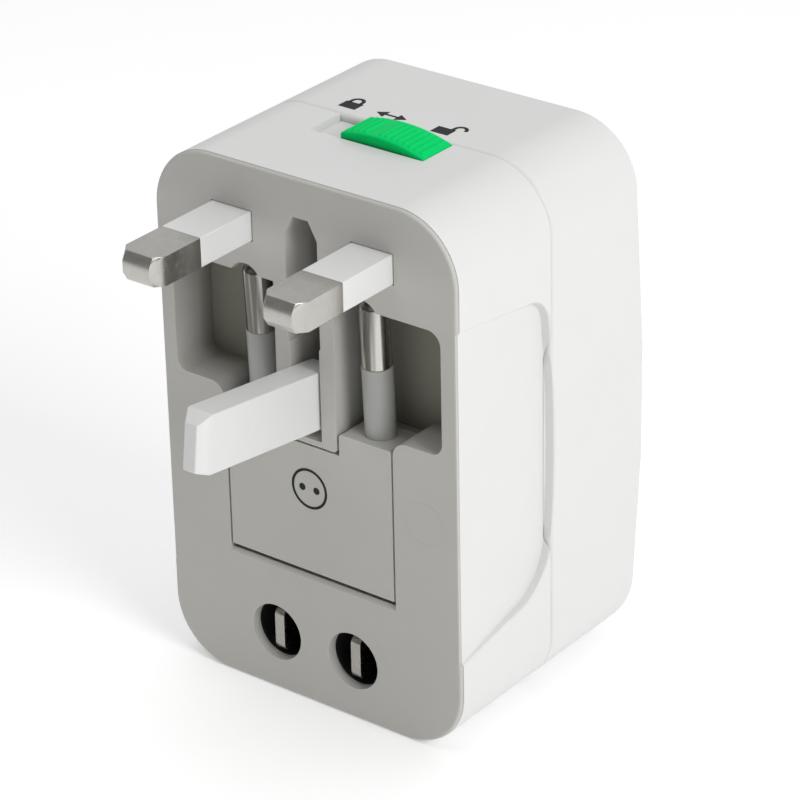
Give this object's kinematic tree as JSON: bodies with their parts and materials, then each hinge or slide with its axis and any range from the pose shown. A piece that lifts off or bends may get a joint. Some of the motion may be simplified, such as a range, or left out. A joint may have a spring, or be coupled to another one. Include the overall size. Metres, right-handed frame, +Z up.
{
  "type": "universal travel adapter",
  "caption": "Two-part travel plug adapter: retracting and folding pins on a front module, flat blades and a universal socket on a rear module that pulls off when unlocked.",
  "frame": {"origin": "centre of the body's base, midway between the plug face and the back", "axes": "+X to the right when looking at the plug face, +Y from the plug face to the socket, +Z up"},
  "size_m": [0.0478, 0.0636, 0.0768],
  "materials": {
    "shell_white": "satin moulded white",
    "pin_white": "smooth moulded white",
    "inner_white": "plain moulded white",
    "face_grey": "fine matt light grey",
    "plate_grey": "fine matt light grey",
    "tube_black": "plain black",
    "sleeve_grey": "smooth light grey",
    "nickel": "nickel plate, lightly brushed",
    "contact_brass": "rolled brass strip",
    "spring_steel": "zinc plated steel",
    "slider_green": "bright green moulding"
  },
  "bodies": {
    "front_module": {"front_shell": "shell_white", "front_fascia": "face_grey", "blade_tube_live": "tube_black", "blade_tube_neutral": "tube_black", "front_coupling_plate": "plate_grey", "front_screws": "spring_steel", "uk_wiper_live": "contact_brass", "uk_wiper_neutral": "contact_brass", "earth_pin_pivot": "spring_steel", "earth_pin_detent_spring": "spring_steel", "euro_pivot_live": "contact_brass", "euro_pivot_neutral": "contact_brass", "front_busbar_live": "contact_brass", "front_busbar_neutral": "contact_brass", "blade_contact_live": "contact_brass", "blade_contact_neutral": "contact_brass", "lock_detent_spring": "spring_steel"},
    "uk_pins": {"uk_pin_live": "nickel", "uk_pin_neutral": "nickel", "uk_sleeve_live": "pin_white", "uk_sleeve_neutral": "pin_white", "uk_pin_carriage": "inner_white"},
    "uk_earth": {"earth_pin": "pin_white"},
    "euro_plug": {"euro_block": "face_grey", "euro_block_cover": "plate_grey", "euro_block_screws": "spring_steel", "euro_pin_live": "nickel", "euro_pin_neutral": "nickel", "euro_sleeve_live": "sleeve_grey", "euro_sleeve_neutral": "sleeve_grey"},
    "lock": {"lock_slider": "slider_green"},
    "socket_module": {"rear_shell": "shell_white", "rear_coupling_plate": "plate_grey", "rear_screws": "spring_steel", "socket_face": "plate_grey", "contact_housing": "inner_white", "socket_contact_live": "contact_brass", "socket_contact_neutral": "contact_brass", "blade_retainer": "inner_white"},
    "right_blade": {"blade_live": "nickel", "blade_hub_live": "plate_grey"},
    "left_blade": {"blade_neutral": "nickel", "blade_hub_neutral": "plate_grey"}
  },
  "joints": [
    {"name": "uk_pins_retract", "type": "slide", "parent": "front_module", "child": "uk_pins", "axis": [0, 1, 0], "range_m": [0, 0.0182]},
    {"name": "earth_pin_fold", "type": "hinge", "parent": "front_module", "child": "uk_earth", "pos_m": [0, -0.01723, 0.04364], "axis": [-1, 0, 0], "range_deg": [-7.5, 82.5]},
    {"name": "euro_plug_fold", "type": "hinge", "parent": "front_module", "child": "euro_plug", "pos_m": [0, -0.0179, 0.0223], "axis": [1, 0, 0], "range_deg": [0, 90]},
    {"name": "lock_slide", "type": "slide", "parent": "front_module", "child": "lock", "axis": [-1, 0, 0], "range_m": [0, 0.0049]},
    {"name": "socket_module_release", "type": "slide", "parent": "front_module", "child": "socket_module", "axis": [0, 1, 0], "range_m": [0, 0.03]},
    {"name": "right_blade_turn", "type": "hinge", "parent": "socket_module", "child": "right_blade", "pos_m": [0.00635, -0.0008, 0.0086], "axis": [0, -1, 0], "range_deg": [0, 30]},
    {"name": "left_blade_turn", "type": "hinge", "parent": "socket_module", "child": "left_blade", "pos_m": [-0.00635, -0.0008, 0.0086], "axis": [0, 1, 0], "range_deg": [0, 30]}
  ]
}
